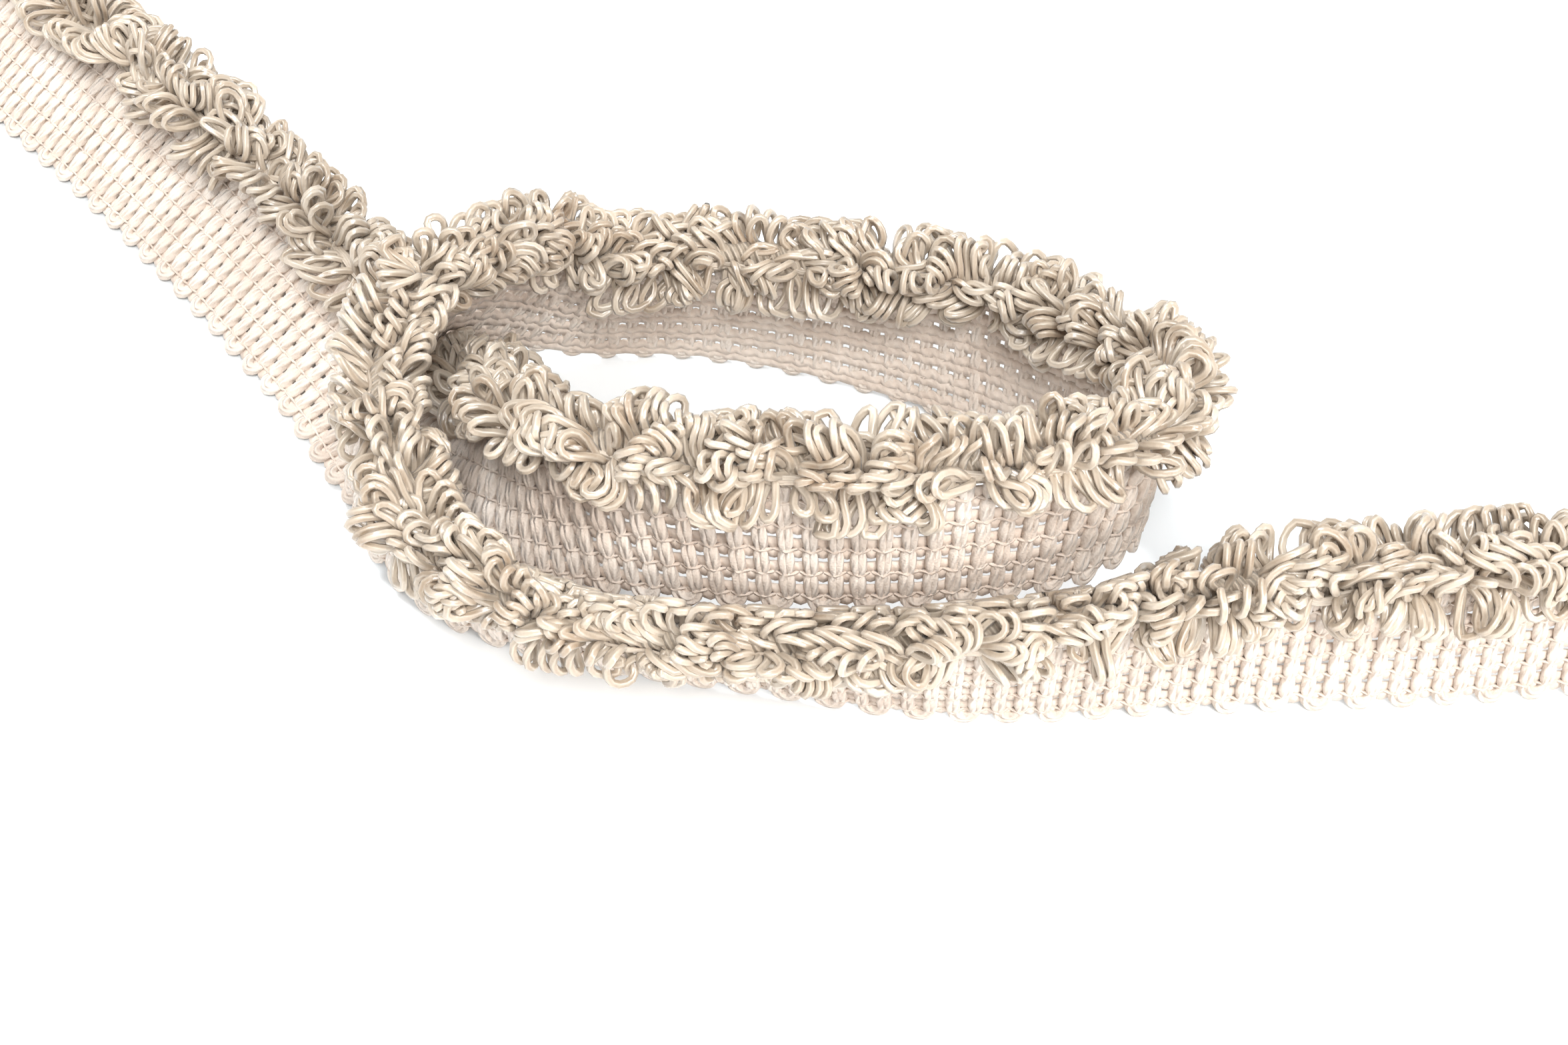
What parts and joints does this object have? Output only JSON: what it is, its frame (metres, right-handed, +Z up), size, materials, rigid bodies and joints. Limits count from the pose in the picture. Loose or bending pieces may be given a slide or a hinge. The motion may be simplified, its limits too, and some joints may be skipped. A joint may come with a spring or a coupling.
{
  "type": "loop fringe trim",
  "caption": "Woven trim tape with a scalloped edge and a thick head of twisted cord loops, laid on its edge in one open turn.",
  "frame": {"origin": "centre of the footprint, on the table that the scalloped edge stands on", "axes": "+Z up, +Y away from the viewer, +X towards the near cut end"},
  "size_m": [0.2829, 0.1909, 0.0492],
  "materials": {
    "tape_cotton": "matte woven cotton, pale pinkish cream",
    "loop_cord": "satin twisted cord, champagne beige"
  },
  "bodies": {
    "root": {"woven_tape": "tape_cotton", "loop_head": "loop_cord"}
  },
  "joints": []
}
